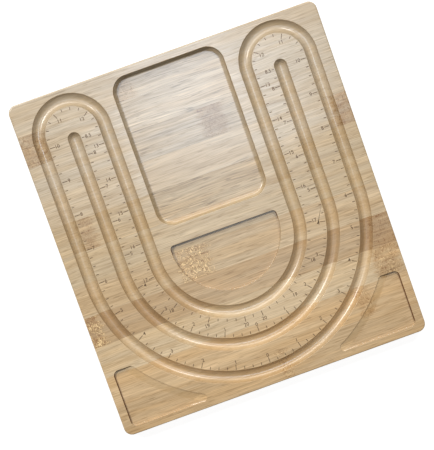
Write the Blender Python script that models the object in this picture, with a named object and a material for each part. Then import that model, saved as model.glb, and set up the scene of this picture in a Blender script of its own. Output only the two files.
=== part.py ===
"""Bead design board: three plies of flat-laid bamboo strips, glued up and routed from above.

Frame, in metres: the origin is the centre of the underside. +X runs along the strips to the right,
+Y runs across them towards the arched ends of the bead channels, and +Z points up, out of the
routed face. The board is the same on both sides of the plane X = 0.
"""
import math

import bmesh
import bpy
from mathutils import Matrix, Vector

MM = 0.001

# The panel: eleven rows of strips in each of three plies.
BOARD_WIDTH = 230 * MM
BOARD_LENGTH = 250 * MM
PLY_THICKNESS = 5 * MM
PLIES = ("base", "core", "top")
STRIP_ROWS = 11
GLUE_LINE = 0.1 * MM
CORNER_RADIUS = 6 * MM
EDGE_RADIUS = 1 * MM

# The bead channels: three concentric U shapes of one half-round section.
CHANNEL_RADIUS = 4.5 * MM
CHANNEL_DEPTH = 4.4 * MM
BEND_CENTRE_Y = -13 * MM
MIDDLE_BEND_RADIUS = 77.3 * MM
CHANNEL_PITCH = 23.8 * MM
ARCH_CENTRE_Y = 93 * MM
MIDDLE_CHANNEL_END_Y = 89 * MM

# The main tray: deep enough to pass through the top ply, with a cove round its floor.
MAIN_TRAY_WIDTH = 82 * MM
MAIN_TRAY_BOTTOM_Y = 7.5 * MM
MAIN_TRAY_TOP_Y = 119.2 * MM
MAIN_TRAY_DEPTH = 6 * MM
MAIN_TRAY_CORNER_RADIUS = 12 * MM
MAIN_TRAY_COVE_RADIUS = 3 * MM

# The half-round tray inside the bends.
HALF_TRAY_DEPTH = 3.5 * MM
HALF_TRAY_RADIUS = 40 * MM
HALF_TRAY_CENTRE_Y = -11 * MM
HALF_TRAY_TOP_Y = -5.9 * MM
HALF_TRAY_CORNER_RADIUS = 3 * MM

# A tray in each lower corner. Below a low step, its curved side is a ramp down to the floor.
CORNER_TRAY_DEPTH = 2.5 * MM
CORNER_TRAY_STEP = 0.5 * MM
CORNER_TRAY_RAMP_WIDTH = 5.5 * MM
CORNER_TRAY_OUTER_X = 108.7 * MM
CORNER_TRAY_TOP_Y = -77 * MM
CORNER_TRAY_BOTTOM_Y = -119.7 * MM
CORNER_TRAY_BEND_RADIUS = 114 * MM
CORNER_TRAY_CORNER_RADIUS = 4 * MM
CORNER_TRAY_TIP_RADIUS = 3 * MM

# How finely the curved faces are divided.
CHORD_TOLERANCE = 0.1 * MM
CHANNEL_BEVEL_RESOLUTION = 6
CHANNEL_END_STEPS = 4
CORNER_SEGMENTS = 4
EDGE_SEGMENTS = 2
COVE_SEGMENTS = 4
TRAY_CORNER_SEGMENTS = 6
TRAY_BEND_SEGMENTS = 12
MERGE_DISTANCE = 0.01 * MM

# Blanks and cutters stand this far out of the faces that they trim, so no two faces coincide.
OVERSHOOT = 5 * MM

BOARD_THICKNESS = PLY_THICKNESS * len(PLIES)
ROW_PITCH = BOARD_LENGTH / STRIP_ROWS
OUTER_BEND_RADIUS = MIDDLE_BEND_RADIUS + CHANNEL_PITCH
INNER_BEND_RADIUS = MIDDLE_BEND_RADIUS - CHANNEL_PITCH

BAMBOO_COLOURS = {
    "pale": (0.62, 0.49, 0.33, 1.0),
    "honey": (0.55, 0.41, 0.25, 1.0),
    "warm": (0.50, 0.36, 0.22, 1.0),
}
BAMBOO_ROUGHNESS = 0.4


def clear_scene():
    """Remove the objects that the scene starts with."""
    for scene_object in list(bpy.data.objects):
        bpy.data.objects.remove(scene_object, do_unlink=True)


def new_collection(name):
    collection = bpy.data.collections.new(name)
    bpy.context.scene.collection.children.link(collection)
    return collection


def bamboo_material(name, tone):
    """Satin lacquered bamboo in one of its natural tones."""
    material = bpy.data.materials.new(name)
    material.use_nodes = True
    shader = material.node_tree.nodes["Principled BSDF"]
    shader.inputs["Base Color"].default_value = BAMBOO_COLOURS[tone]
    shader.inputs["Roughness"].default_value = BAMBOO_ROUGHNESS
    shader.inputs["Metallic"].default_value = 0.0
    material.diffuse_color = BAMBOO_COLOURS[tone]
    return material


# ---- Outlines ----------------------------------------------------------------------------------


def arc(centre, radius, start_degrees, end_degrees, steps=None):
    """Points along an arc. Without a number of steps they stay within the chord tolerance."""
    sweep = math.radians(end_degrees - start_degrees)
    if steps is None:
        widest_step = 2 * math.acos(1 - CHORD_TOLERANCE / radius)
        steps = max(2, math.ceil(abs(sweep) / widest_step))
    points = []
    for step in range(steps + 1):
        angle = math.radians(start_degrees) + sweep * step / steps
        points.append((centre[0] + radius * math.cos(angle), centre[1] + radius * math.sin(angle)))
    return points


def loop_channel_path():
    """The outer and inner channels, which the two arches join into one closed loop."""
    bend = (0, BEND_CENTRE_Y)
    right_arch = (MIDDLE_BEND_RADIUS, ARCH_CENTRE_Y)
    left_arch = (-MIDDLE_BEND_RADIUS, ARCH_CENTRE_Y)
    path = arc(bend, OUTER_BEND_RADIUS, 180, 360)
    path += arc(right_arch, CHANNEL_PITCH, 0, 180)
    path += arc(bend, INNER_BEND_RADIUS, 360, 180)
    path += arc(left_arch, CHANNEL_PITCH, 0, 180)
    return path


def middle_channel_path():
    """The middle channel, with each point's share of the full radius: its ends are hemispheres."""
    end_rings = []
    for step in range(CHANNEL_END_STEPS + 1):
        angle = math.radians(90) * step / (CHANNEL_END_STEPS + 0.2)
        rise = CHANNEL_RADIUS * math.sin(angle)
        end_rings.append((MIDDLE_CHANNEL_END_Y + rise, math.cos(angle)))
    bend = arc((0, BEND_CENTRE_Y), MIDDLE_BEND_RADIUS, 180, 360)
    path = [(-MIDDLE_BEND_RADIUS, y) for y, share in reversed(end_rings)]
    shares = [share for y, share in reversed(end_rings)]
    path += bend
    shares += [1.0] * len(bend)
    path += [(MIDDLE_BEND_RADIUS, y) for y, share in end_rings]
    shares += [share for y, share in end_rings]
    return path, shares


def half_tray_outline():
    """A half disc whose straight side has two rounded corners."""
    corner_x = HALF_TRAY_RADIUS - HALF_TRAY_CORNER_RADIUS
    corner_y = HALF_TRAY_TOP_Y - HALF_TRAY_CORNER_RADIUS
    outline = arc((0, HALF_TRAY_CENTRE_Y), HALF_TRAY_RADIUS, 180, 360)
    outline += arc((corner_x, corner_y), HALF_TRAY_CORNER_RADIUS, 0, 90)
    outline += arc((-corner_x, corner_y), HALF_TRAY_CORNER_RADIUS, 90, 180)
    return outline


def corner_tray_tip(y, bend_radius):
    """Centre of a tip's rounding at height y, and the angle from it to the bend's centre."""
    reach = bend_radius + CORNER_TRAY_TIP_RADIUS
    rise = BEND_CENTRE_Y - y
    x = -math.sqrt(reach ** 2 - rise ** 2)
    return (x, y), math.degrees(math.atan2(rise, -x))


def corner_tray_outline(side, bend_radius):
    """A corner pocket whose long side runs concentric with the channels. side is -1 or 1."""
    radius = CORNER_TRAY_CORNER_RADIUS
    tip = CORNER_TRAY_TIP_RADIUS
    steps = TRAY_CORNER_SEGMENTS
    outer_corner_x = -CORNER_TRAY_OUTER_X + radius
    low_tip, low_angle = corner_tray_tip(CORNER_TRAY_BOTTOM_Y + tip, bend_radius)
    high_tip, high_angle = corner_tray_tip(CORNER_TRAY_TOP_Y - tip, bend_radius)

    outline = arc((outer_corner_x, CORNER_TRAY_BOTTOM_Y + radius), radius, 180, 270, steps)
    outline += arc(low_tip, tip, -90, low_angle, steps)
    outline += arc((0, BEND_CENTRE_Y), bend_radius, low_angle + 180, high_angle + 180,
                   TRAY_BEND_SEGMENTS)[1:-1]
    outline += arc(high_tip, tip, high_angle, 90, steps)
    outline += arc((outer_corner_x, CORNER_TRAY_TOP_Y - radius), radius, 90, 180, steps)
    return [(-side * x, y) for x, y in outline]


def without_repeats(path):
    """Drop each point that lies on the one before it, round a closed path."""
    kept = []
    for index, point in enumerate(path):
        before = path[index - 1]
        if math.dist(point, before) > MERGE_DISTANCE:
            kept.append(point)
    return kept


# ---- Solids ------------------------------------------------------------------------------------


def add_mesh_object(name, shape, location, collection):
    mesh = bpy.data.meshes.new(name)
    shape.to_mesh(mesh)
    shape.free()
    solid = bpy.data.objects.new(name, mesh)
    solid.location = location
    collection.objects.link(solid)
    return solid


def add_box(name, low, high, collection):
    """A box between two corners, with its origin at its centre."""
    low = Vector(low)
    high = Vector(high)
    shape = bmesh.new()
    bmesh.ops.create_cube(shape, size=1.0, matrix=Matrix.Diagonal((high - low).to_4d()))
    return add_mesh_object(name, shape, (low + high) / 2, collection)


def bevel_edges(shape, edges, radius, segments):
    bmesh.ops.bevel(shape, geom=edges, offset=radius, offset_type="OFFSET", segments=segments,
                    profile=0.5, affect="EDGES", clamp_overlap=False)


def add_rounded_box(name, low, high, corner, rim, rims, collection):
    """A box with rounded upright edges, then rounded rims.

    corner and rim are (radius, segments). rims holds -1 for the bottom rim and 1 for the top one.
    """
    low = Vector(low)
    high = Vector(high)
    size = high - low
    shape = bmesh.new()
    bmesh.ops.create_cube(shape, size=1.0, matrix=Matrix.Diagonal(size.to_4d()))
    uprights = [edge for edge in shape.edges
                if abs(edge.verts[0].co.z - edge.verts[1].co.z) > size.z / 2]
    bevel_edges(shape, uprights, *corner)
    for rim_side in rims:
        level = rim_side * size.z / 2
        rim_edges = [edge for edge in shape.edges
                     if all(abs(vertex.co.z - level) < MERGE_DISTANCE for vertex in edge.verts)]
        bevel_edges(shape, rim_edges, *rim)
    return add_mesh_object(name, shape, (low + high) / 2, collection)


def mesh_from_curve(curve_object, collection):
    """Turn a curve object into one closed mesh object in the same place."""
    collection.objects.link(curve_object)
    bpy.context.view_layer.update()
    evaluated = curve_object.evaluated_get(bpy.context.evaluated_depsgraph_get())
    mesh = bpy.data.meshes.new_from_object(evaluated)
    shape = bmesh.new()
    shape.from_mesh(mesh)
    bmesh.ops.remove_doubles(shape, verts=shape.verts, dist=MERGE_DISTANCE)
    bmesh.ops.recalc_face_normals(shape, faces=shape.faces)
    shape.to_mesh(mesh)
    shape.free()
    name = curve_object.name
    placement = curve_object.matrix_world.copy()
    bpy.data.objects.remove(curve_object, do_unlink=True)
    solid = bpy.data.objects.new(name, mesh)
    solid.matrix_world = placement
    collection.objects.link(solid)
    return solid


def poly_curve(name, path, closed, shares=None):
    """A curve object through the points of a path. shares scales its bevel point by point."""
    curve = bpy.data.curves.new(name, "CURVE")
    spline = curve.splines.new("POLY")
    spline.points.add(len(path) - 1)
    for index, (x, y) in enumerate(path):
        spline.points[index].co = (x, y, 0, 1)
        if shares:
            spline.points[index].radius = shares[index]
    spline.use_cyclic_u = closed
    return bpy.data.objects.new(name, curve)


def add_channel_cutter(name, path, closed, collection, shares=None):
    """A round bar along a path. Its lower half, sunk in the face, leaves the channel."""
    bar = poly_curve(name, path, closed, shares)
    bar.data.dimensions = "3D"
    bar.data.twist_mode = "Z_UP"
    bar.data.bevel_depth = CHANNEL_RADIUS
    bar.data.bevel_resolution = CHANNEL_BEVEL_RESOLUTION
    bar.data.use_fill_caps = not closed
    bar.location.z = BOARD_THICKNESS - CHANNEL_DEPTH + CHANNEL_RADIUS
    return mesh_from_curve(bar, collection)


def add_half_tray_cutter(name, collection):
    """A flat-floored pocket with upright walls."""
    low_z = BOARD_THICKNESS - HALF_TRAY_DEPTH
    high_z = BOARD_THICKNESS + OVERSHOOT
    slab = poly_curve(name, without_repeats(half_tray_outline()), closed=True)
    slab.data.dimensions = "2D"
    slab.data.fill_mode = "BOTH"
    slab.data.extrude = (high_z - low_z) / 2
    slab.location.z = (high_z + low_z) / 2
    return mesh_from_curve(slab, collection)


def add_corner_tray_cutter(name, side, collection):
    """A flat-floored pocket, upright on three sides and ramped on the curved one."""
    step_outline = corner_tray_outline(side, CORNER_TRAY_BEND_RADIUS)
    floor_outline = corner_tray_outline(side, CORNER_TRAY_BEND_RADIUS + CORNER_TRAY_RAMP_WIDTH)
    levels = [
        (floor_outline, BOARD_THICKNESS - CORNER_TRAY_DEPTH),
        (step_outline, BOARD_THICKNESS - CORNER_TRAY_STEP),
        (step_outline, BOARD_THICKNESS + OVERSHOOT),
    ]
    shape = bmesh.new()
    rings = [[shape.verts.new((x, y, z)) for x, y in outline] for outline, z in levels]
    for lower, upper in zip(rings, rings[1:]):
        for index in range(len(lower)):
            before = index - 1
            shape.faces.new((lower[before], lower[index], upper[index], upper[before]))
    shape.faces.new(rings[0])
    shape.faces.new(rings[-1])
    bmesh.ops.recalc_face_normals(shape, faces=shape.faces)
    bmesh.ops.triangulate(shape, faces=shape.faces)
    return add_mesh_object(name, shape, (0, 0, 0), collection)


def add_main_tray_cutter(name, collection):
    low = (-MAIN_TRAY_WIDTH / 2, MAIN_TRAY_BOTTOM_Y, BOARD_THICKNESS - MAIN_TRAY_DEPTH)
    high = (MAIN_TRAY_WIDTH / 2, MAIN_TRAY_TOP_Y, BOARD_THICKNESS + OVERSHOOT)
    corner = (MAIN_TRAY_CORNER_RADIUS, TRAY_CORNER_SEGMENTS)
    cove = (MAIN_TRAY_COVE_RADIUS, COVE_SEGMENTS)
    return add_rounded_box(name, low, high, corner, cove, (-1,), collection)


def add_panel_guide(name, collection):
    """The outside of the finished board, which trims the ends and edges of the strips."""
    low = (-BOARD_WIDTH / 2, -BOARD_LENGTH / 2, 0)
    high = (BOARD_WIDTH / 2, BOARD_LENGTH / 2, BOARD_THICKNESS)
    corner = (CORNER_RADIUS, CORNER_SEGMENTS)
    rim = (EDGE_RADIUS, EDGE_SEGMENTS)
    return add_rounded_box(name, low, high, corner, rim, (-1, 1), collection)


# ---- The strips --------------------------------------------------------------------------------


def row_span(row):
    """Low and high Y of a row of strips. Row 1 is at the arched end of the board."""
    high = BOARD_LENGTH / 2 - (row - 1) * ROW_PITCH
    low = high - ROW_PITCH
    low += -OVERSHOOT if row == STRIP_ROWS else GLUE_LINE / 2
    high += OVERSHOOT if row == 1 else -GLUE_LINE / 2
    return low, high


def ply_span(ply):
    """Low and high Z of a ply. Ply 0 is the base."""
    low = ply * PLY_THICKNESS
    high = low + PLY_THICKNESS
    low += -OVERSHOOT if ply == 0 else GLUE_LINE / 2
    high += OVERSHOOT if ply == len(PLIES) - 1 else -GLUE_LINE / 2
    return low, high


def main_tray_splits(row, ply):
    """True where the main tray passes right through a strip and parts it in two."""
    row_low, row_high = row_span(row)
    inside_rows = row_low > MAIN_TRAY_BOTTOM_Y and row_high < MAIN_TRAY_TOP_Y
    tray_floor = BOARD_THICKNESS - MAIN_TRAY_DEPTH
    return inside_rows and ply_span(ply)[0] > tray_floor


def strip_pieces(row, ply):
    """The pieces of one strip: (name, low X, high X). A split strip has a left and a right one."""
    name = f"{PLIES[ply]}_strip_{row:02d}"
    end = BOARD_WIDTH / 2 + OVERSHOOT
    inside_tray = MAIN_TRAY_WIDTH / 4
    if main_tray_splits(row, ply):
        return [(f"{name}_left", -end, -inside_tray), (f"{name}_right", inside_tray, end)]
    return [(name, -end, end)]


def cut(solid, cutter, operation):
    modifier = solid.modifiers.new(cutter.name, "BOOLEAN")
    modifier.operation = operation
    modifier.solver = "EXACT"
    modifier.object = cutter


def meets(low, high, cutter):
    """True where the box between two corners meets the box round a cutter."""
    corners = [cutter.matrix_world @ Vector(corner) for corner in cutter.bound_box]
    for axis in range(3):
        if min(corner[axis] for corner in corners) > high[axis]:
            return False
        if max(corner[axis] for corner in corners) < low[axis]:
            return False
    return True


def add_strips(panel, cutters, collection, board_root):
    tones = list(BAMBOO_COLOURS)
    for ply in range(len(PLIES)):
        low_z, high_z = ply_span(ply)
        for row in range(1, STRIP_ROWS + 1):
            low_y, high_y = row_span(row)
            for name, low_x, high_x in strip_pieces(row, ply):
                low = (low_x, low_y, low_z)
                high = (high_x, high_y, high_z)
                strip = add_box(name, low, high, collection)
                strip.parent = board_root
                strip.data.materials.append(bamboo_material(name, tones[(row + ply) % len(tones)]))
                cut(strip, panel, "INTERSECT")
                for cutter in cutters:
                    if meets(low, high, cutter):
                        cut(strip, cutter, "DIFFERENCE")


def build():
    clear_scene()
    board = new_collection("bead_board")
    tools = new_collection("bead_board_cutters")

    panel = add_panel_guide("panel_guide", tools)
    middle_path, middle_shares = middle_channel_path()
    cutters = [
        add_channel_cutter("loop_channel_cutter", without_repeats(loop_channel_path()), True, tools),
        add_channel_cutter("middle_channel_cutter", middle_path, False, tools, middle_shares),
        add_main_tray_cutter("main_tray_cutter", tools),
        add_half_tray_cutter("half_tray_cutter", tools),
        add_corner_tray_cutter("left_tray_cutter", -1, tools),
        add_corner_tray_cutter("right_tray_cutter", 1, tools),
    ]
    for guide in [panel] + cutters:
        guide.hide_render = True
        guide.display_type = "WIRE"
    bpy.context.view_layer.update()

    board_root = bpy.data.objects.new("bead_board_root", None)
    board.objects.link(board_root)
    add_strips(panel, cutters, board, board_root)


build()
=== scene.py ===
"""Looks of a bamboo bead design board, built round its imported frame.

Frame, in metres: the origin is the centre of the underside, +X runs along the bamboo strips, +Y runs
across them towards the arched ends of the channels, and +Z points up, out of the routed face.
"""
import math
from collections import namedtuple

import bmesh
import bpy
from mathutils import Matrix, Vector


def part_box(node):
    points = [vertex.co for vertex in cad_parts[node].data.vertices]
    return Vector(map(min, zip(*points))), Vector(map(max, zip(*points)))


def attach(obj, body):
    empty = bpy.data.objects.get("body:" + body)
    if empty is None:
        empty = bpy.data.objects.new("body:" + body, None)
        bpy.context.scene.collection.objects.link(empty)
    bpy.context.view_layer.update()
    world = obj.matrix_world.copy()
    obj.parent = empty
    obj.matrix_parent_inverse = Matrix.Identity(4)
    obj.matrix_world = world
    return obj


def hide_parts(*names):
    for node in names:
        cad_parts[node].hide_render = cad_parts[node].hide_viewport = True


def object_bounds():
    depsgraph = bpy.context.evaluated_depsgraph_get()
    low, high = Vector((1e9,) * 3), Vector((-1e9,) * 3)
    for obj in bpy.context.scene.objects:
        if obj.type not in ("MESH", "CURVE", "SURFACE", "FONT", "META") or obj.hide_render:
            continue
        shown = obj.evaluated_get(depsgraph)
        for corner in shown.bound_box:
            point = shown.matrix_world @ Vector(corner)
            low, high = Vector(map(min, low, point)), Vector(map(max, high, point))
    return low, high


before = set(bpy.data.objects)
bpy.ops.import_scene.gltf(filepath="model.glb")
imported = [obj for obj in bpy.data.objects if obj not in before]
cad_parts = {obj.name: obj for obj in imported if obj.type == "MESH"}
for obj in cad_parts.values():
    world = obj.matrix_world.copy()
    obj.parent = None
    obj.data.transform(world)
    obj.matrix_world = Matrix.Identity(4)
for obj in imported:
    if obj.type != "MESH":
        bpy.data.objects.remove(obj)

CAD_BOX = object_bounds()
BOARD_LOW, BOARD_HIGH = (Vector(corner) for corner in CAD_BOX)
FACE_Z = BOARD_HIGH.z

MM = 0.001
INCH = 25.4 * MM
GLUE_LINE = 0.1 * MM

# ---- Sizes -------------------------------------------------------------------------------------

CORNER_RADIUS = 6 * MM
EDGE_RADIUS = 1 * MM

CHANNEL_RADIUS = 4.5 * MM
CHANNEL_DEPTH = 4.4 * MM
BEND_CENTRE = (0, -13 * MM)
MIDDLE_BEND_RADIUS = 77.3 * MM
CHANNEL_PITCH = 23.8 * MM
OUTER_BEND_RADIUS = MIDDLE_BEND_RADIUS + CHANNEL_PITCH
INNER_BEND_RADIUS = MIDDLE_BEND_RADIUS - CHANNEL_PITCH
ARCH_CENTRE_Y = 93 * MM
MIDDLE_CHANNEL_END_Y = 89 * MM

MAIN_TRAY_HALF_WIDTH = 41 * MM
MAIN_TRAY_BOTTOM_Y = 7.5 * MM
MAIN_TRAY_TOP_Y = 119.2 * MM
MAIN_TRAY_DEPTH = 6 * MM
MAIN_TRAY_CORNER_RADIUS = 12 * MM
MAIN_TRAY_COVE_RADIUS = 3 * MM

SHALLOW_TRAY_COVE_RADIUS = 0.3 * MM
HALF_TRAY_DEPTH = 3.5 * MM
HALF_TRAY_RADIUS = 40 * MM
HALF_TRAY_CENTRE_Y = -11 * MM
HALF_TRAY_TOP_Y = -5.9 * MM
HALF_TRAY_CORNER_RADIUS = 3 * MM
CORNER_TRAY_DEPTH = 2.5 * MM
CORNER_TRAY_STEP = 0.5 * MM
CORNER_TRAY_RAMP_WIDTH = 5.5 * MM
CORNER_TRAY_OUTER_X = 108.7 * MM
CORNER_TRAY_TOP_Y = -77 * MM
CORNER_TRAY_BOTTOM_Y = -119.7 * MM
CORNER_TRAY_BEND_RADIUS = 114 * MM
CORNER_TRAY_CORNER_RADIUS = 4 * MM
CORNER_TRAY_TIP_RADIUS = 3 * MM

# The inch scales. Each follows the edge of a channel at its own spacing radius round the bends.
MARK_DEPTH = 0.15 * MM
MARK_WIDTH = 0.45 * MM
MARK_GAP = 0.7 * MM
SHORT_MARK = 2 * MM
LONG_MARK = 3.8 * MM
MARKS_PER_INCH = 4
FIGURE_SIZE = 3.7 * MM
FIGURE_BOLDNESS = 0.03 * MM
FIGURE_RESOLUTION = 3
FIGURE_GAP = 0.5 * MM
NEARLY_LEVEL = math.cos(math.radians(15))
LONG_SCALE_BEND_RADIUS = 97.4 * MM
LONG_SCALE_ARCH_RADIUS = 18.25 * MM
LONG_SCALE_RETURN_RADIUS = 58.5 * MM
LONG_SCALE_INCHES = 20.25
SHORT_SCALE_BEND_RADIUS = 73.2 * MM
SHORT_SCALE_INCHES = 8.5

# A strip's second material is for the faces that the engraving leaves.
BURNT_SLOT = 1

# The sanded lip of every routed edge. It meets the face at a small crease angle.
LIP_RADIUS = 0.5 * MM
SHALLOW_TRAY_LIP_RADIUS = 0.15 * MM
LIP_CREASE = math.radians(20)
LIP_STEPS = 5

# How finely round faces are divided, and how far cutters stand out of the board.
CHORD_TOLERANCE = 0.01 * MM
CHANNEL_SECTION_STEPS = 12
COVE_STEPS = 8
CORNER_TRAY_CORNER_STEPS = 24
CORNER_TRAY_BEND_STEPS = 60
END_CAP_STEPS = 20
EDGE_STEPS = 5
MERGE_DISTANCE = 0.001 * MM
OVERSHOOT = 2 * MM
SEAM = 0.01 * MM
SMOOTH_ANGLE = math.radians(30)


# ---- Outlines ----------------------------------------------------------------------------------
# An outline is a list of (x, y, nx, ny): points with the normals on their right-hand side.


def arc(centre, radius, start_degrees, end_degrees, steps=None):
    """Part of a circle. Its normals point outwards when it turns counterclockwise."""
    sweep = math.radians(end_degrees - start_degrees)
    if steps is None:
        steps = math.ceil(abs(sweep) / (2 * math.acos(1 - CHORD_TOLERANCE / radius)))
    side = math.copysign(1, sweep)
    outline = []
    for step in range(steps + 1):
        angle = math.radians(start_degrees) + sweep * step / steps
        across, along = math.cos(angle), math.sin(angle)
        point = (centre[0] + radius * across, centre[1] + radius * along)
        outline.append((*point, side * across, side * along))
    return outline


def loop_channel_line():
    """Centre line of the outer and inner channels, which two arches join into a closed loop."""
    right_arch = (MIDDLE_BEND_RADIUS, ARCH_CENTRE_Y)
    left_arch = (-MIDDLE_BEND_RADIUS, ARCH_CENTRE_Y)
    line = arc(BEND_CENTRE, OUTER_BEND_RADIUS, 180, 360)
    line += arc(right_arch, CHANNEL_PITCH, 0, 180)
    line += arc(BEND_CENTRE, INNER_BEND_RADIUS, 360, 180)
    line += arc(left_arch, CHANNEL_PITCH, 0, 180)
    return line


def middle_channel_line():
    """Centre line of the middle channel, run down one side and back up the other."""
    right_end = (MIDDLE_BEND_RADIUS, MIDDLE_CHANNEL_END_Y)
    left_end = (-MIDDLE_BEND_RADIUS, MIDDLE_CHANNEL_END_Y)
    line = arc(BEND_CENTRE, MIDDLE_BEND_RADIUS, 180, 360)
    line += arc(right_end, 0, 0, 180, END_CAP_STEPS)
    line += arc(BEND_CENTRE, MIDDLE_BEND_RADIUS, 360, 180)
    line += arc(left_end, 0, 0, 180, END_CAP_STEPS)
    return line


def rounded_rectangle(low, high, radius):
    """Outline of a rectangle between two corners, with rounded corners."""
    outline = arc((high[0] - radius, low[1] + radius), radius, -90, 0)
    outline += arc((high[0] - radius, high[1] - radius), radius, 0, 90)
    outline += arc((low[0] + radius, high[1] - radius), radius, 90, 180)
    outline += arc((low[0] + radius, low[1] + radius), radius, 180, 270)
    return outline


def main_tray_outline():
    low = (-MAIN_TRAY_HALF_WIDTH, MAIN_TRAY_BOTTOM_Y)
    high = (MAIN_TRAY_HALF_WIDTH, MAIN_TRAY_TOP_Y)
    return rounded_rectangle(low, high, MAIN_TRAY_CORNER_RADIUS)


def half_tray_outline():
    x = HALF_TRAY_RADIUS - HALF_TRAY_CORNER_RADIUS
    y = HALF_TRAY_TOP_Y - HALF_TRAY_CORNER_RADIUS
    outline = arc((0, HALF_TRAY_CENTRE_Y), HALF_TRAY_RADIUS, 180, 360)
    outline += arc((x, y), HALF_TRAY_CORNER_RADIUS, 0, 90)
    outline += arc((-x, y), HALF_TRAY_CORNER_RADIUS, 90, 180)
    return outline


def tip_of_corner_tray(y, bend_radius):
    """Centre of a tip's rounding at height y, and the angle from it to the bend's centre."""
    reach = bend_radius + CORNER_TRAY_TIP_RADIUS
    rise = BEND_CENTRE[1] - y
    x = -math.sqrt(reach ** 2 - rise ** 2)
    return (x, y), math.degrees(math.atan2(rise, -x))


def corner_tray_outline(side, bend_radius):
    """A corner pocket whose long side runs concentric with the channels. side is -1 or 1."""
    radius = CORNER_TRAY_CORNER_RADIUS
    tip = CORNER_TRAY_TIP_RADIUS
    steps = CORNER_TRAY_CORNER_STEPS
    x = -CORNER_TRAY_OUTER_X + radius
    low_tip, low_angle = tip_of_corner_tray(CORNER_TRAY_BOTTOM_Y + tip, bend_radius)
    high_tip, high_angle = tip_of_corner_tray(CORNER_TRAY_TOP_Y - tip, bend_radius)
    outline = arc((x, CORNER_TRAY_BOTTOM_Y + radius), radius, 180, 270, steps)
    outline += arc(low_tip, tip, -90, low_angle, steps)
    outline += arc(BEND_CENTRE, bend_radius, low_angle + 180, high_angle + 180,
                   CORNER_TRAY_BEND_STEPS)
    outline += arc(high_tip, tip, high_angle, 90, steps)
    outline += arc((x, CORNER_TRAY_TOP_Y - radius), radius, 90, 180, steps)
    return [(-side * x, y, -side * nx, ny) for x, y, nx, ny in outline]


# ---- Cutters -----------------------------------------------------------------------------------
# A profile is a list of (offset, z), where offset runs along the outline's normal.


def round_profile(centre, radius, start, end, steps):
    """Part of a circle in a profile, between two angles in radians."""
    points = []
    for step in range(steps + 1):
        angle = start + (end - start) * step / steps
        points.append((centre[0] + radius * math.cos(angle), centre[1] + radius * math.sin(angle)))
    return points


def lip_profile(centre_offset, start, radius=LIP_RADIUS):
    """The sanded lip, from the wall up to the face, and the cutter's side above it."""
    centre = (centre_offset, FACE_Z - radius * math.cos(LIP_CREASE))
    points = round_profile(centre, radius, start, math.pi / 2, LIP_STEPS)
    return points + [(centre_offset, FACE_Z + OVERSHOOT)]


def channel_profile():
    """Half of a channel's section, from the middle of its floor to its lip."""
    axis_z = FACE_Z - CHANNEL_DEPTH + CHANNEL_RADIUS
    drop = axis_z - (FACE_Z - LIP_RADIUS * math.cos(LIP_CREASE))
    lip_offset = math.sqrt((CHANNEL_RADIUS + LIP_RADIUS) ** 2 - drop ** 2)
    meeting = -math.atan2(drop, lip_offset)
    floor = round_profile((0, axis_z), CHANNEL_RADIUS, -math.pi / 2, meeting, CHANNEL_SECTION_STEPS)
    return floor[:-1] + lip_profile(lip_offset, math.pi + meeting)


def tray_profile(depth, cove_radius, lip_radius):
    """A tray's wall, from the edge of its flat floor to its lip."""
    cove_centre = (-cove_radius, FACE_Z - depth + cove_radius)
    cove = round_profile(cove_centre, cove_radius, -math.pi / 2, 0, COVE_STEPS)
    return cove + lip_profile(lip_radius, math.pi, lip_radius)


def mesh_object(name, shape):
    """A new object from a bmesh, welded and with its faces pointing out."""
    bmesh.ops.remove_doubles(shape, verts=shape.verts, dist=MERGE_DISTANCE)
    bmesh.ops.recalc_face_normals(shape, faces=shape.faces)
    mesh = bpy.data.meshes.new(name)
    shape.to_mesh(mesh)
    shape.free()
    solid = bpy.data.objects.new(name, mesh)
    bpy.context.scene.collection.objects.link(solid)
    return solid


def ring(shape, outline, offset, z):
    return [shape.verts.new((x + nx * offset, y + ny * offset, z)) for x, y, nx, ny in outline]


def bridge(shape, first, second):
    """Quads between two rings of vertices."""
    for index in range(len(first)):
        before = index - 1
        shape.faces.new((first[before], first[index], second[index], second[before]))


def stacked_solid(name, shape, rings, floor=True):
    """A solid between rings that climb. Without a floor the lowest ring is a line."""
    for lower, upper in zip(rings, rings[1:]):
        bridge(shape, lower, upper)
    if floor:
        shape.faces.new(rings[0])
    shape.faces.new(rings[-1])
    return mesh_object(name, shape)


def ring_solid(name, outline, profile, floor=True):
    """A solid whose rings climb a profile round an outline."""
    shape = bmesh.new()
    rings = [ring(shape, outline, offset, z) for offset, z in profile]
    return stacked_solid(name, shape, rings, floor)


def corner_tray_cutter(name, side):
    """Upright on three sides. On the curved side a ramp climbs from the floor to a low step."""
    profile = tray_profile(CORNER_TRAY_DEPTH, SHALLOW_TRAY_COVE_RADIUS, SHALLOW_TRAY_LIP_RADIUS)
    profile.insert(COVE_STEPS + 1, (0, FACE_Z - CORNER_TRAY_STEP))
    shape = bmesh.new()
    rings = []
    for offset, z in profile:
        share = (FACE_Z - CORNER_TRAY_STEP - z) / (CORNER_TRAY_DEPTH - CORNER_TRAY_STEP)
        bend_radius = CORNER_TRAY_BEND_RADIUS + CORNER_TRAY_RAMP_WIDTH * max(0, share)
        rings.append(ring(shape, corner_tray_outline(side, bend_radius), offset, z))
    return stacked_solid(name, shape, rings)


def channel_loop_cutter(name, line, profile):
    """A channel's whole section swept round a closed line."""
    section = [(-offset, z) for offset, z in reversed(profile[1:])] + profile
    shape = bmesh.new()
    rings = [ring(shape, line, offset, z) for offset, z in section]
    for first, second in zip(rings, rings[1:] + rings[:1]):
        bridge(shape, first, second)
    return mesh_object(name, shape)


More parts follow.
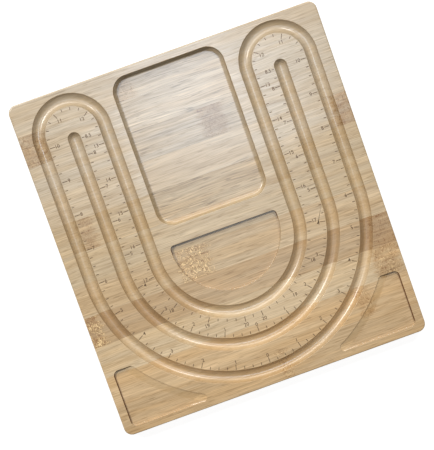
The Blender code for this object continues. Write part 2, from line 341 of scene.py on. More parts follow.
def board_outside(name):
    """The outside of the finished board: upright corners and both rims rounded."""
    low_rim = (-EDGE_RADIUS, BOARD_LOW.z + EDGE_RADIUS)
    high_rim = (-EDGE_RADIUS, BOARD_HIGH.z - EDGE_RADIUS)
    profile = round_profile(low_rim, EDGE_RADIUS, -math.pi / 2, 0, EDGE_STEPS)
    profile += round_profile(high_rim, EDGE_RADIUS, 0, math.pi / 2, EDGE_STEPS)
    outline = rounded_rectangle(BOARD_LOW, BOARD_HIGH, CORNER_RADIUS)
    return ring_solid(name, outline, profile)


def make_cutters():
    channel = channel_profile()
    deep = tray_profile(MAIN_TRAY_DEPTH, MAIN_TRAY_COVE_RADIUS, LIP_RADIUS)
    shallow = tray_profile(HALF_TRAY_DEPTH, SHALLOW_TRAY_COVE_RADIUS, SHALLOW_TRAY_LIP_RADIUS)
    return [
        channel_loop_cutter("loop_channel_cutter", loop_channel_line(), channel),
        ring_solid("middle_channel_cutter", middle_channel_line(), channel, floor=False),
        ring_solid("main_tray_cutter", main_tray_outline(), deep),
        ring_solid("half_tray_cutter", half_tray_outline(), shallow),
        corner_tray_cutter("left_tray_cutter", -1),
        corner_tray_cutter("right_tray_cutter", 1),
    ]


# ---- Engraved scales ---------------------------------------------------------------------------
# A stretch of a scale is (length, place), where place(distance) gives a point on the channel's edge
# and the direction in which a mark leaves it.


def stretch_along_arc(centre, spacing_radius, edge_radius, start_degrees, sweep_degrees, side):
    """Marks round a bend. side is 1 where they point away from its centre."""
    length = spacing_radius * math.radians(abs(sweep_degrees))
    turn = math.copysign(1, sweep_degrees)

    def place(distance):
        angle = math.radians(start_degrees) + turn * distance / spacing_radius
        outward = Vector((math.cos(angle), math.sin(angle)))
        return Vector(centre) + outward * edge_radius, outward * side

    return length, place


def stretch_along_arm(x, start_y, end_y, side):
    """Marks along a straight arm. side is 1 where they point to +X."""
    way = math.copysign(1, end_y - start_y)

    def place(distance):
        return Vector((x, start_y + way * distance)), Vector((side, 0))

    return abs(end_y - start_y), place


def long_scale():
    """Up the outer channel's inner edge, over the arch and back down the inner channel's outer edge."""
    arch = (MIDDLE_BEND_RADIUS, ARCH_CENTRE_Y)
    outer_edge = OUTER_BEND_RADIUS - CHANNEL_RADIUS
    inner_edge = INNER_BEND_RADIUS + CHANNEL_RADIUS
    arch_edge = CHANNEL_PITCH - CHANNEL_RADIUS
    low_y = BEND_CENTRE[1]
    return [
        stretch_along_arc(BEND_CENTRE, LONG_SCALE_BEND_RADIUS, outer_edge, -90, 90, -1),
        stretch_along_arm(outer_edge, low_y, ARCH_CENTRE_Y, -1),
        stretch_along_arc(arch, LONG_SCALE_ARCH_RADIUS, arch_edge, 0, 180, -1),
        stretch_along_arm(inner_edge, ARCH_CENTRE_Y, low_y, 1),
        stretch_along_arc(BEND_CENTRE, LONG_SCALE_RETURN_RADIUS, inner_edge, 0, -90, 1),
    ]


def short_scale():
    """Up the inner edge of the middle channel."""
    edge = MIDDLE_BEND_RADIUS - CHANNEL_RADIUS
    return [
        stretch_along_arc(BEND_CENTRE, SHORT_SCALE_BEND_RADIUS, edge, -90, 90, -1),
        stretch_along_arm(edge, BEND_CENTRE[1], MIDDLE_CHANNEL_END_Y, -1),
    ]


def place_on_scale(stretches, distance):
    """The place at a distance from the start of a scale."""
    for length, place in stretches[:-1]:
        if distance <= length:
            return place(distance)
        distance -= length
    return stretches[-1][1](distance)


def figures_mesh(text):
    """Closed solids of a label's figures, centred on the origin and as tall as a mark's cutter."""
    curve = bpy.data.curves.new("figures", "FONT")
    curve.body = text
    curve.size = FIGURE_SIZE
    curve.offset = FIGURE_BOLDNESS
    curve.resolution_u = FIGURE_RESOLUTION
    curve.extrude = MARK_DEPTH
    label = bpy.data.objects.new("figures", curve)
    bpy.context.scene.collection.objects.link(label)
    bpy.context.view_layer.update()
    evaluated = label.evaluated_get(bpy.context.evaluated_depsgraph_get())
    mesh = bpy.data.meshes.new_from_object(evaluated)
    bpy.data.objects.remove(label, do_unlink=True)
    places = [vertex.co for vertex in mesh.vertices]
    low = Vector((min(place.x for place in places), min(place.y for place in places), 0))
    high = Vector((max(place.x for place in places), max(place.y for place in places), 0))
    mesh.transform(Matrix.Translation(-(low + high) / 2))
    return mesh, (high - low) / 2


def bar_mesh():
    """A solid one metre long and wide, which each mark scales to its own size."""
    shape = bmesh.new()
    bmesh.ops.create_cube(shape, size=1.0)
    mesh = bpy.data.meshes.new("bar")
    shape.to_mesh(mesh)
    shape.free()
    return mesh


def scale_marks(stretches, end, labels, bar):
    """Every mark and label on both sides of one scale: a list of (mesh, placing).

    Every whole inch has a label, and so have the inches in labels. A label stands past the end of
    its mark, and at the mark's own height beside a nearly level one.
    """
    marks = []
    for count in range(round(end * MARKS_PER_INCH) + 1):
        inches = count / MARKS_PER_INCH
        edge, way = place_on_scale(stretches, inches * INCH)
        whole = count % MARKS_PER_INCH == 0
        length = LONG_MARK if whole else SHORT_MARK
        text = f"{inches:g}" if whole or inches in labels else ""
        middle = edge + way * (MARK_GAP + length / 2)
        on_centre_line = middle.x <= MARK_WIDTH
        sides = (1,) if on_centre_line else (1, -1)
        for side in sides:
            placing = Matrix.Translation((side * middle.x, middle.y, FACE_Z))
            turn = math.atan2(way.y, side * way.x)
            size = Matrix.Diagonal((length, MARK_WIDTH, 2 * MARK_DEPTH, 1))
            marks.append((bar, placing @ Matrix.Rotation(turn, 4, "Z") @ size))
            if text:
                mesh, half = figures_mesh(text)
                reach = abs(way.x) * half.x + abs(way.y) * half.y
                spot = edge + way * (MARK_GAP + length + FIGURE_GAP + reach)
                if abs(way.x) > NEARLY_LEVEL:
                    spot.y = middle.y
                marks.append((mesh, Matrix.Translation((side * spot.x, spot.y, FACE_Z))))
    return marks


def all_marks():
    bar = bar_mesh()
    marks = scale_marks(long_scale(), LONG_SCALE_INCHES, (), bar)
    return marks + scale_marks(short_scale(), SHORT_SCALE_INCHES, (SHORT_SCALE_INCHES,), bar)


def meets(low, high, corners):
    """Whether the box round some corners meets the box from low to high."""
    for axis in range(3):
        if min(corner[axis] for corner in corners) > high[axis]:
            return False
        if max(corner[axis] for corner in corners) < low[axis]:
            return False
    return True


def marks_cutter(name, low, high, marks):
    """The marks that meet a strip, as one cutter, or None."""
    shape = bmesh.new()
    for mesh, placing in marks:
        if meets(low, high, [placing @ vertex.co for vertex in mesh.vertices]):
            placed = mesh.copy()
            placed.transform(placing)
            shape.from_mesh(placed)
    if not shape.verts:
        shape.free()
        return None
    for face in shape.faces:
        face.material_index = BURNT_SLOT
    cutter = mesh_object(name, shape)
    for _ in range(BURNT_SLOT + 1):
        cutter.data.materials.append(None)
    return cutter


# ---- Strips ------------------------------------------------------------------------------------


def strip_blank(node):
    """Corners of the uncut strip: out past the board's edges, and up to its neighbours elsewhere."""
    low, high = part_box(node)
    for axis in range(3):
        at_low_edge = low[axis] < BOARD_LOW[axis] + SEAM
        at_high_edge = high[axis] > BOARD_HIGH[axis] - SEAM
        low[axis] -= OVERSHOOT if at_low_edge else GLUE_LINE / 2 - SEAM
        high[axis] += OVERSHOOT if at_high_edge else GLUE_LINE / 2 - SEAM
    if node.endswith("_left"):
        high.x = -MAIN_TRAY_HALF_WIDTH / 2
    if node.endswith("_right"):
        low.x = MAIN_TRAY_HALF_WIDTH / 2
    return low, high


def boolean(solid, cutter, operation, solver="EXACT"):
    modifier = solid.modifiers.new(cutter.name, "BOOLEAN")
    modifier.operation = operation
    modifier.solver = solver
    modifier.object = cutter


def add_strip(node, outside, cutters, marks, wood, burnt):
    """The finished strip that stands for one node of the frame."""
    low, high = strip_blank(node)
    shape = bmesh.new()
    placing = Matrix.Translation((low + high) / 2) @ Matrix.Diagonal((high - low).to_4d())
    bmesh.ops.create_cube(shape, size=1.0, matrix=placing)
    strip = mesh_object(f"{node}_wood", shape)
    strip.data.materials.append(wood)
    boolean(strip, outside, "INTERSECT")
    for cutter in cutters:
        if meets(low, high, [Vector(corner) for corner in cutter.bound_box]):
            boolean(strip, cutter, "DIFFERENCE")
    engraver = marks_cutter(f"{node}_marks", low, high, marks)
    if engraver:
        strip.data.materials.append(burnt)
        boolean(strip, engraver, "DIFFERENCE", "MANIFOLD")

    bpy.context.view_layer.update()
    evaluated = strip.evaluated_get(bpy.context.evaluated_depsgraph_get())
    finished = bpy.data.meshes.new_from_object(evaluated)
    strip.modifiers.clear()
    strip.data = finished
    if engraver:
        bpy.data.objects.remove(engraver, do_unlink=True)
    finished.shade_smooth()
    finished.set_sharp_from_angle(angle=SMOOTH_ANGLE)
    flatten = strip.modifiers.new("flat_faces_stay_flat", "WEIGHTED_NORMAL")
    flatten.keep_sharp = True
    flatten.weight = 100
    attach(strip, "root")
    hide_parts(node)
    f"{node.split('_')[0]}_bamboo"


# ---- Materials ---------------------------------------------------------------------------------
# Inside the materials lengths are in millimetres.

# Colours that the wood's own colour is multiplied by.
YELLOWED = (0.99, 0.93, 0.83, 1)
WARMED = (1.0, 0.94, 0.85, 1)
KNUCKLE_BROWN = (0.72, 0.58, 0.42, 1)
CURL_SHADOW = (0.62, 0.48, 0.34, 1)
DEEP_BROWN = (0.70, 0.60, 0.50, 1)
# Painted shade: darkens the foot of the shallow trays' straight walls, where shadow falls.
WALL_FOOT_SHADE = (0.36, 0.22, 0.12, 1)
END_GRAIN = (0.80, 0.70, 0.60, 1)

# Colours that take the place of the wood's own.
CURL_GOLD = (0.95, 0.70, 0.36, 1)
DARK_BROWN = (0.16, 0.09, 0.045, 1)
BURNT_BROWN = (0.075, 0.040, 0.018, 1)

# A knuckle's ends: how far they wander, and from where to where they fade in.
KNUCKLE_RAGGEDNESS = 14.0
KNUCKLE_FADE = (-2.5, 3.5)

# How far the fibres wander, how far apart the bundles in the end grain are, and how high the lacquer
# and the burnt wood are grained.
FIBRE_WANDER = 5.0
BUNDLE_PITCH = 0.75
LACQUER_RELIEF = 0.035
BURNT_RELIEF = 0.03

# A strip's seed moves its place in the noises, mostly along X and Y.
SEED_STEP = 1.37
SEED_SPREAD = (317.0, 91.0, 1.0)

# The depth round which a channel's round floor is nearly level.
LEVEL_CHANNEL_FLOOR = CHANNEL_DEPTH / MM - 0.05

# A painted shade line starts this far from its wall, and is full nearer to it.
WALL_SHADE_START = 0.8
WALL_SHADE_FULL = 0.4

# Where the painted shade lines fade in and out, along x and along y: start, full, full end and end.
CORNER_TRAY_WALL_SHADE = ((93.0, 96.0, 110.0, 111.0), (-118.5, -115.0, -76.0, -75.0))
HALF_TRAY_WALL_SHADE = ((-1.0, 0.0, 42.0, 43.0), (-14.0, -10.0, -5.5, -5.0))

# Painted light: how much paler the corner trays' ramps are made, against the shade that their slope
# gets.
RAMP_PAINTED_LIGHT_GAIN = 0.16


class Graph:
    """Short calls that build a node tree."""

    def __init__(self, tree):
        self.tree = tree
        tree.nodes.clear()

    def feed(self, socket, value):
        if isinstance(value, bpy.types.NodeSocket):
            self.tree.links.new(value, socket)
        else:
            socket.default_value = value

    def add(self, kind, inputs=None, **settings):
        node = self.tree.nodes.new(kind)
        for name, value in settings.items():
            setattr(node, name, value)
        for name, value in (inputs or {}).items():
            self.feed(node.inputs[name], value)
        return node

    def math(self, operation, *values):
        node = self.add("ShaderNodeMath", operation=operation)
        for socket, value in zip(node.inputs, values):
            self.feed(socket, value)
        return node.outputs[0]

    def vector(self, operation, *values):
        node = self.add("ShaderNodeVectorMath", operation=operation)
        for socket, value in zip(node.inputs, values):
            self.feed(socket, value)
        return node.outputs[0]

    def combine(self, x, y, z):
        return self.add("ShaderNodeCombineXYZ", {"X": x, "Y": y, "Z": z}).outputs[0]

    def split(self, vector):
        return self.add("ShaderNodeSeparateXYZ", {"Vector": vector}).outputs

    def scale(self, vector, factor):
        """A vector or a colour times a factor."""
        return self.vector("SCALE", vector, (0, 0, 0), (0, 0, 0), factor)

    def place(self):
        """Where a point is in the object's own axes, in millimetres."""
        return self.scale(self.add("ShaderNodeTexCoord").outputs["Object"], 1 / MM)

    def product(self, result, *factors):
        for factor in factors:
            result = self.math("MULTIPLY", result, factor)
        return result

    def distance(self, x, y):
        """How far (x, y) is from the origin."""
        squares = self.math("ADD", self.math("MULTIPLY", x, x), self.math("MULTIPLY", y, y))
        return self.math("SQRT", squares)

    def ramp(self, value, low, high, start=0.0, end=1.0):
        """Goes smoothly from start to end while the value goes from low to high."""
        limits = {"Value": value, "From Min": low, "From Max": high, "To Min": start, "To Max": end}
        return self.add("ShaderNodeMapRange", limits, interpolation_type="SMOOTHSTEP").outputs[0]

    def band(self, value, start, full, full_end, end):
        """1 while the value is between full and full_end, and 0 outside start and end."""
        rise = self.ramp(value, start, full)
        return self.math("MULTIPLY", rise, self.ramp(value, full_end, end, 1.0, 0.0))

    def noise(self, place, size, stretch=1.0, detail=2.0, swirl=0.0):
        """Noise with features of a given size, drawn out along X by 1 / stretch, and along Z by 2."""
        scaled = self.vector("MULTIPLY", place, (stretch / size, 1 / size, 0.5 / size))
        settings = {"Vector": scaled, "Scale": 1.0, "Detail": detail, "Distortion": swirl}
        return self.add("ShaderNodeTexNoise", settings).outputs[0]

    def drift(self, noise, amount):
        """An offset round 0 from a noise that runs round 0.5."""
        return self.math("MULTIPLY", self.math("SUBTRACT", noise, 0.5), amount)

    def swing(self, noise, amount):
        """A factor round 1 from a noise that runs round 0.5."""
        return self.math("MULTIPLY_ADD", self.math("SUBTRACT", noise, 0.5), 2 * amount, 1.0)

    def tint(self, share, colour, target, blend="MIX"):
        node = self.add("ShaderNodeMix", data_type="RGBA", blend_type=blend)
        self.feed(node.inputs[0], share)
        self.feed(node.inputs[6], colour)
        self.feed(node.inputs[7], target)
        return node.outputs[2]

    def stain(self, share, colour, factor):
        """A colour that is multiplied by another where share is 1."""
        return self.tint(share, colour, factor, "MULTIPLY")


# Noises that run along the fibres, from the widest to the finest.
Fibres = namedtuple("Fibres", "hue broad streaks threads fine")


def fibre_noises(graph, grown):
    """Noises along fibres that wander a little on their way along the strip."""
    wander = graph.drift(graph.noise(grown, size=28, stretch=0.35), FIBRE_WANDER)
    along = graph.vector("ADD", grown, graph.combine(0.0, wander, wander))
    return Fibres(
        hue=graph.noise(along, size=9.0, stretch=0.08),
        broad=graph.noise(along, size=6.0, stretch=0.05),
        streaks=graph.noise(along, size=1.7, stretch=0.035, detail=3.0),
        threads=graph.noise(along, size=0.9, stretch=0.09, detail=1.0),
        fine=graph.noise(along, size=0.5, stretch=0.022),
    )


def fibre_strength(graph, facing, depth):
    """The fibres show less in the round channels than on the flat faces."""
    level = graph.ramp(facing, 0.94, 0.99)
    off_floor = graph.math("ABSOLUTE", graph.math("SUBTRACT", depth, LEVEL_CHANNEL_FLOOR))
    flat = graph.math("MULTIPLY", level, graph.ramp(off_floor, 0.1, 0.2))
    return graph.math("MULTIPLY_ADD", flat, 0.5, 0.5)


def streaked(graph, tone, fibres, amount):
    """A strip's tone, lighter and darker along the fibres."""
    colour = graph.stain(graph.ramp(fibres.hue, 0.35, 0.65), tone, YELLOWED)
    dark_threads = graph.ramp(fibres.threads, 0.58, 0.72, 1.0, 0.78)
    varied = graph.product(graph.swing(fibres.broad, 0.16), graph.swing(fibres.streaks, 0.27),
                           graph.swing(fibres.fine, 0.44), dark_threads)
    varied = graph.math("MULTIPLY_ADD", graph.math("SUBTRACT", varied, 1.0), amount, 1.0)
    warmth = graph.ramp(varied, 0.75, 1.0, 1.0, 0.0)
    return graph.stain(warmth, graph.scale(colour, varied), WARMED)


def browned_by_knuckles(graph, colour, grown, brown):
    """A knuckle's brown fibres, in blotches."""
    blotches = graph.ramp(graph.noise(grown, size=4.0, stretch=0.4), 0.30, 0.65, 0.45, 1.0)
    return graph.stain(graph.math("MULTIPLY", brown, blotches), colour, KNUCKLE_BROWN)


def browned_below(graph, colour, aside, depth, amount):
    """The wood below the sanded face can be browner, away from the middle of the board."""
    deep = graph.product(graph.ramp(depth, 0.6, 3.5), amount, graph.ramp(aside, 40, 60))
    return graph.stain(deep, colour, DEEP_BROWN)


def painted_shade_line(graph, aside, y, corner, radius, fades):
    """A painted shade line at the foot of two walls that meet in a rounded corner, centred on corner.
    """
    past_x = graph.math("MAXIMUM", graph.math("SUBTRACT", aside, corner[0] / MM), 0.0)
    past_y = graph.math("MAXIMUM", graph.math("SUBTRACT", y, corner[1] / MM), 0.0)
    wall = radius / MM
    line = graph.ramp(graph.distance(past_x, past_y), wall - WALL_SHADE_START, wall - WALL_SHADE_FULL)
    return graph.product(line, graph.band(aside, *fades[0]), graph.band(y, *fades[1]))


def painted_wall_shade(graph, colour, aside, y, depth):
    """Painted shade: dark lines at the foot of the straight walls of the shallow trays, where shadow
    falls.
    """
    corner_tray = (CORNER_TRAY_OUTER_X - CORNER_TRAY_CORNER_RADIUS,
                   CORNER_TRAY_TOP_Y - CORNER_TRAY_CORNER_RADIUS)
    half_tray = (HALF_TRAY_RADIUS - HALF_TRAY_CORNER_RADIUS,
                 HALF_TRAY_TOP_Y - HALF_TRAY_CORNER_RADIUS)
    corner_line = painted_shade_line(graph, aside, y, corner_tray, CORNER_TRAY_CORNER_RADIUS,
                                CORNER_TRAY_WALL_SHADE)
    half_line = painted_shade_line(graph, aside, y, half_tray, HALF_TRAY_CORNER_RADIUS,
                              HALF_TRAY_WALL_SHADE)
    below_face = graph.ramp(depth, 0.05, 0.3)
    line = graph.math("MULTIPLY", graph.math("MAXIMUM", corner_line, half_line), below_face)
    return graph.stain(line, colour, WALL_FOOT_SHADE)


def painted_ramp_light(graph, colour, x, y, depth):
    """Painted light: the corner trays' ramps made paler, against the shade that their slope gets."""
    from_bend = graph.distance(x, graph.math("SUBTRACT", y, BEND_CENTRE[1] / MM))
    top = CORNER_TRAY_BEND_RADIUS / MM
    foot = top + CORNER_TRAY_RAMP_WIDTH / MM
    tray_end = CORNER_TRAY_TOP_Y / MM
    on_ramp = graph.product(
        graph.band(from_bend, top - 0.5, top + 0.2, foot - 0.5, foot + 0.5),
        graph.ramp(depth, 0.4, 0.6), graph.ramp(y, tray_end - 1, tray_end, 1.0, 0.0))
    return graph.scale(colour, graph.math("MULTIPLY_ADD", on_ramp, RAMP_PAINTED_LIGHT_GAIN, 1.0))


def end_grained(graph, colour, grown, end_face):
    """End grain: the fibre bundles show as dark dots."""
    across = graph.vector("MULTIPLY", grown, (0.0, 1 / BUNDLE_PITCH, 1 / BUNDLE_PITCH))
    bundle = graph.add("ShaderNodeTexVoronoi", {"Vector": across, "Scale": 1.0}).outputs["Distance"]
    dot = graph.math("MULTIPLY", graph.ramp(bundle, 0.22, 0.34, 1.0, 0.0), end_face)
    colour = graph.stain(graph.math("MULTIPLY", end_face, 0.5), colour, END_GRAIN)
    return graph.tint(graph.math("MULTIPLY", dot, 0.55), colour, DARK_BROWN)


def lacquer_relief(graph, fibres, curls, strength):
    """Height of the lacquer over the fibres."""
    relief = graph.math("ADD", graph.math("MULTIPLY", fibres.fine, 0.6),
                        graph.math("MULTIPLY", fibres.streaks, 0.8))
    sunk_threads = graph.math("MULTIPLY", graph.ramp(fibres.threads, 0.60, 0.72), -0.5)
    relief = graph.math("ADD", relief, sunk_threads)
    relief = graph.math("ADD", relief, graph.math("MULTIPLY", curls, 0.5))
    return graph.math("MULTIPLY", relief, strength)


def bamboo_group():
    """Flat-laid bamboo: fibre streaks along X, knuckles, browner wood deeper down, dotted end grain."""
    tree = bpy.data.node_groups.new("bamboo", "ShaderNodeTree")
    inputs = {"Tone": "Color", "Seed": "Float", "Streaks": "Float", "Knuckle": "Float",
              "Brown": "Float", "Gold": "Float", "Deep Brown": "Float"}
    outputs = {"Colour": "Color", "Roughness": "Float", "Gloss": "Float", "Normal": "Vector"}
    for way, sockets in (("INPUT", inputs), ("OUTPUT", outputs)):
        for name, kind in sockets.items():
            tree.interface.new_socket(name, in_out=way, socket_type=f"NodeSocket{kind}")

    graph = Graph(tree)
    given = graph.add("NodeGroupInput").outputs
    place = graph.place()
    x, y, z = graph.split(place)
    aside = graph.math("ABSOLUTE", x)
    depth = graph.math("SUBTRACT", FACE_Z / MM, z)
    facing = graph.split(graph.add("ShaderNodeTexCoord").outputs["Normal"])
    end_face = graph.ramp(graph.math("ABSOLUTE", facing[0]), 0.85, 0.97)
    grown = graph.vector("ADD", place, graph.scale(SEED_SPREAD, given["Seed"]))
    fibres = fibre_noises(graph, grown)
    strength = fibre_strength(graph, facing[2], depth)

    colour = streaked(graph, given["Tone"], fibres, graph.math("MULTIPLY", given["Streaks"], strength))
    colour = browned_by_knuckles(graph, colour, grown, given["Brown"])

    # A knuckle's fine curls have a dark and a light side.
    curls = graph.noise(grown, size=4.4, stretch=1.3, detail=1.0, swirl=2.0)
    dark_side = graph.math("MULTIPLY", graph.band(curls, 0.42, 0.46, 0.46, 0.50), given["Knuckle"])
    light_side = graph.math("MULTIPLY", graph.band(curls, 0.50, 0.54, 0.54, 0.60), given["Gold"])
    colour = graph.stain(dark_side, colour, CURL_SHADOW)
    colour = graph.tint(light_side, colour, CURL_GOLD)

    colour = browned_below(graph, colour, aside, depth, given["Deep Brown"])
    # Painted shade along the foot of the shallow trays' straight walls.
    colour = painted_wall_shade(graph, colour, aside, y, depth)
    # Painted light on the corner trays' ramps, which evens out the shade of their slope.
    colour = painted_ramp_light(graph, colour, x, y, depth)
    colour = end_grained(graph, colour, grown, end_face)

    # Satin lacquer that follows the fibres.
    relief = lacquer_relief(graph, fibres, light_side, strength)
    bump = graph.add("ShaderNodeBump", {"Height": relief, "Strength": 1.0,
                                        "Distance": LACQUER_RELIEF * MM})
    roughness = graph.math("ADD", graph.math("MULTIPLY", fibres.streaks, 0.16), 0.33)
    roughness = graph.math("ADD", roughness, graph.math("MULTIPLY", end_face, 0.2))
    gloss = graph.ramp(fibres.fine, 0.35, 0.65, 0.65, 1.0)
    graph.add("NodeGroupOutput", {"Colour": colour, "Roughness": roughness, "Gloss": gloss,
                                  "Normal": bump.outputs["Normal"]})
    return tree


# A knuckle is (x, width, how brown, how golden its curls are), with x and width in millimetres.
Knuckle = namedtuple("Knuckle", "x width brown gold")

# A strip's looks: its tone, how light it is, how streaky, how brown it is deeper down, its knuckles.
Look = namedtuple("Look", "tone light streaks deep knuckles", defaults=[()])

TONES = {
    "cream": (0.51, 0.417, 0.295),
    "straw": (0.53, 0.41, 0.255),
    "sand": (0.62, 0.475, 0.295),
    "honey": (0.54, 0.405, 0.245),
    "tan": (0.50, 0.36, 0.21),
    "amber": (0.59, 0.42, 0.235),
}

TOP_LOOKS = (
    Look("cream", 0.97, 0.9, 0.1),
    Look("cream", 0.96, 1.0, 0.1, (Knuckle(-106, 20, 0.8, 0.15),)),
    Look("cream", 1.00, 1.0, 0.1),
    Look("cream", 1.04, 1.0, 0.2, (Knuckle(112, 20, 0.9, 0.0),)),
    Look("straw", 0.97, 1.0, 0.3, (Knuckle(-91, 12, 0.6, 0.0),)),
    Look("straw", 1.00, 1.0, 0.1),
    Look("honey", 1.00, 1.1, 0.1, (Knuckle(-27, 24, 0.4, 0.9),)),
    Look("tan", 1.00, 1.0, 0.6, (Knuckle(-111, 12, 0.8, 1.0), Knuckle(108, 24, 0.5, 0.0))),
    Look("sand", 1.00, 1.0, 0.1, (Knuckle(104, 20, 0.8, 0.4),)),
    Look("amber", 1.05, 1.0, 0.1, (Knuckle(79, 12, 0.5, 0.3),)),
    Look("amber", 0.96, 1.1, 0.1, (Knuckle(10, 10, 0.2, 0.4),)),
)
CORE_LOOKS = (
    Look("cream", 0.92, 1.5, 0.0, (Knuckle(-34, 18, 0.35, 0.1),)),
    Look("cream", 0.97, 1.6, 0.0),
    Look("cream", 0.88, 1.5, 0.0, (Knuckle(19, 18, 0.7, 0.0),)),
    Look("cream", 1.00, 1.0, 0.0),
    Look("straw", 0.87, 1.6, 0.0),
) + (Look("honey", 0.98, 1.0, 0.0),) * 6
BASE_LOOKS = (
    Look("straw", 0.97, 1.0, 0.0),
    Look("honey", 1.00, 1.0, 0.0, (Knuckle(62, 14, 0.6, 0.1),)),
    Look("straw", 1.02, 0.9, 0.0),
    Look("amber", 0.98, 1.1, 0.0, (Knuckle(-48, 12, 0.6, 0.0),)),
    Look("sand", 1.00, 1.0, 0.0),
    Look("honey", 0.97, 1.0, 0.0, (Knuckle(-94, 15, 0.6, 0.2),)),
    Look("straw", 1.00, 1.1, 0.0),
    Look("honey", 1.03, 0.9, 0.0),
    Look("amber", 0.97, 1.0, 0.0, (Knuckle(23, 13, 0.6, 0.1),)),
    Look("straw", 1.00, 1.0, 0.0),
    Look("sand", 0.97, 1.1, 0.0, (Knuckle(97, 12, 0.5, 0.0),)),
)
LOOKS = {"top": TOP_LOOKS, "core": CORE_LOOKS, "base": BASE_LOOKS}
PLY_SEEDS = {"top": 1, "core": 21, "base": 41}


def knuckle_mask(graph, place, x, width):
    """1 inside the band where a bamboo knuckle crosses a strip, with ragged ends."""
    ragged = graph.drift(graph.noise(place, size=2.6, stretch=0.3), KNUCKLE_RAGGEDNESS)
    along = graph.math("ADD", graph.split(place)[0], ragged)
    off_centre = graph.math("ABSOLUTE", graph.math("SUBTRACT", along, x))
    inside = graph.math("SUBTRACT", width / 2, off_centre)
    return graph.ramp(inside, *KNUCKLE_FADE)


def bamboo_material(ply, row, group):
    """The wood of one strip. Both parts of a strip that the main tray parts share it."""
    look = LOOKS[ply][row - 1]
    material = bpy.data.materials.new(f"{ply}_strip_{row:02d}_bamboo")
    material.use_nodes = True
    graph = Graph(material.node_tree)
    tone = [look.light * value for value in TONES[look.tone]]
    place = graph.place()
    inside, brown, gold = 0.0, 0.0, 0.0
    for knuckle in look.knuckles:
        band = knuckle_mask(graph, place, knuckle.x, knuckle.width)
        inside = graph.math("ADD", inside, band)
        brown = graph.math("MULTIPLY_ADD", band, knuckle.brown, brown)
        gold = graph.math("MULTIPLY_ADD", band, knuckle.gold, gold)
    wood = graph.add("ShaderNodeGroup", node_tree=group)
    settings = {
        "Tone": (*tone, 1), "Seed": PLY_SEEDS[ply] + row * SEED_STEP, "Streaks": look.streaks,
        "Knuckle": inside, "Brown": brown, "Gold": gold, "Deep Brown": look.deep,
    }
    for name, value in settings.items():
        graph.feed(wood.inputs[name], value)
    shader = graph.add("ShaderNodeBsdfPrincipled", {
        "Base Color": wood.outputs["Colour"], "Roughness": 0.41, "Specular IOR Level": 0.5,
        "Coat Weight": 0.85, "Coat Roughness": 0.23,
    })
    if ply == "top":
        # Only the top ply shows enough for its lacquer to follow the fibres.
        graph.feed(shader.inputs["Roughness"], wood.outputs["Roughness"])
        graph.feed(shader.inputs["Normal"], wood.outputs["Normal"])
        graph.feed(shader.inputs["Coat Weight"], wood.outputs["Gloss"])
    graph.add("ShaderNodeOutputMaterial", {"Surface": shader.outputs[0]})
    return material


def burnt_material():
    """Bamboo browned by the laser, unevenly, and matt."""
    material = bpy.data.materials.new("burnt_bamboo")
    material.use_nodes = True
    graph = Graph(material.node_tree)
    place = graph.place()
    patches = graph.noise(place, size=1.2, stretch=0.4)
    colour = graph.tint(graph.ramp(patches, 0.3, 0.7), BURNT_BROWN, DARK_BROWN)
    bump = graph.add("ShaderNodeBump", {"Height": graph.noise(place, size=0.2), "Strength": 1.0,
                                        "Distance": BURNT_RELIEF * MM})
    shader = graph.add("ShaderNodeBsdfPrincipled", {
        "Base Color": colour, "Roughness": 0.75, "Normal": bump.outputs["Normal"],
    })
    graph.add("ShaderNodeOutputMaterial", {"Surface": shader.outputs[0]})
    return material


def add_strips():
    outside = board_outside("board_outside")
    cutters = make_cutters()
    bpy.context.view_layer.update()
    group = bamboo_group()
    burnt = burnt_material()
    marks = all_marks()
    woods = {(ply, row): bamboo_material(ply, row, group)
             for ply in LOOKS for row in range(1, len(TOP_LOOKS) + 1)}
    for node in sorted(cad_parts):
        ply, _, row = node.split("_")[:3]
        engraved = marks if ply == "top" else []
        add_strip(node, outside, cutters, engraved, woods[ply, int(row)], burnt)
    for guide in [outside] + cutters:
        bpy.data.objects.remove(guide, do_unlink=True)


# ---- Stage, light and camera -------------------------------------------------------------------

FLOOR_REACH = 12
FLOOR_GAP = 0.02 * MM


def add_floor():
    """A wide pale floor that can't be seen from below, so that it doesn't hide the underside."""
    shape = bmesh.new()
    lowered = Matrix.Translation((0, 0, -FLOOR_GAP))
    bmesh.ops.create_grid(shape, x_segments=1, y_segments=1, size=FLOOR_REACH, matrix=lowered)
    floor = mesh_object("floor", shape)
    material = bpy.data.materials.new("floor")
    material.use_nodes = True
    graph = Graph(material.node_tree)
    pale = graph.add("ShaderNodeBsdfPrincipled", {
        "Base Color": (0.25, 0.25, 0.25, 1), "Roughness": 0.9,
        "Emission Color": (1, 1, 1, 1), "Emission Strength": 0.9,
    })
    clear = graph.add("ShaderNodeBsdfTransparent")
    from_below = graph.add("ShaderNodeNewGeometry").outputs["Backfacing"]
    both = graph.add("ShaderNodeMixShader", {0: from_below, 1: pale.outputs[0], 2: clear.outputs[0]})
    graph.add("ShaderNodeOutputMaterial", {"Surface": both.outputs[0]})
    material.cycles.emission_sampling = "NONE"
    floor.data.materials.append(material)


CAMERA_AIM = Vector((-2.9, -2.6, 15)) * MM
CAMERA_DISTANCE = 1068 * MM
CAMERA_TILT = math.radians(5.68)
CAMERA_AZIMUTH = math.radians(100.6)
CAMERA_ROLL = math.radians(-19.77)
CAMERA_LENS = 120
CAMERA_SENSOR = 36


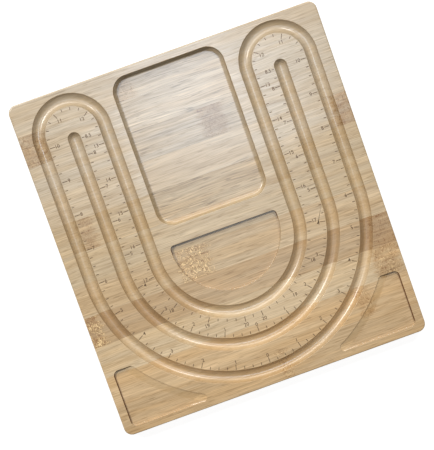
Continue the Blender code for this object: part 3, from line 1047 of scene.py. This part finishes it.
def add_camera():
    data = bpy.data.cameras.new("camera")
    data.lens = CAMERA_LENS
    data.sensor_width = CAMERA_SENSOR
    data.sensor_fit = "AUTO"
    camera = bpy.data.objects.new("camera", data)
    bpy.context.scene.collection.objects.link(camera)
    lean = Matrix.Rotation(CAMERA_AZIMUTH, 4, "Z") @ Matrix.Rotation(CAMERA_TILT, 4, "Y")
    outward = lean @ Vector((0, 0, 1))
    right = Vector((math.cos(CAMERA_ROLL), math.sin(CAMERA_ROLL), 0))
    right = (right - outward * right.dot(outward)).normalized()
    up = outward.cross(right)
    camera.matrix_world = Matrix((
        (right.x, up.x, outward.x, 0), (right.y, up.y, outward.y, 0),
        (right.z, up.z, outward.z, 0), (0, 0, 0, 1),
    ))
    camera.location = CAMERA_AIM + outward * CAMERA_DISTANCE
    bpy.context.scene.camera = camera


DAYLIGHT = (1.0, 0.99, 0.97)
SKYLIGHT = (0.72, 0.84, 1.0)
ROOM_LIGHT = (1.0, 0.88, 0.72, 1)
ROOM_STRENGTH = 0.13


def add_area_light(name, place, size, power, colour):
    """A rectangular light that points at the board."""
    data = bpy.data.lights.new(name, "AREA")
    data.shape = "RECTANGLE"
    data.size, data.size_y = size
    data.energy = power
    data.color = colour
    lamp = bpy.data.objects.new(name, data)
    lamp.location = place
    lamp.rotation_euler = (-Vector(place)).to_track_quat("-Z", "Y").to_euler()
    bpy.context.scene.collection.objects.link(lamp)


def add_lights():
    add_area_light("overhead", (0.07, 0.087, 1.49), (0.22, 0.22), 3.3, SKYLIGHT)
    add_area_light("left_key", (-0.65, 0.62, 1.17), (0.22, 0.18), 9.2, DAYLIGHT)
    add_area_light("right_key", (0.60, 0.62, 1.17), (0.22, 0.18), 6.2, DAYLIGHT)
    add_area_light("far_softbox", (-0.15, 1.25, 0.98), (1.2, 0.5), 12, DAYLIGHT)
    world = bpy.data.worlds.new("studio")
    world.use_nodes = True
    background = world.node_tree.nodes["Background"]
    background.inputs["Color"].default_value = ROOM_LIGHT
    background.inputs["Strength"].default_value = ROOM_STRENGTH
    bpy.context.scene.world = world
    bpy.context.scene.view_settings.view_transform = "Standard"


add_strips()
add_floor()
add_camera()
add_lights()
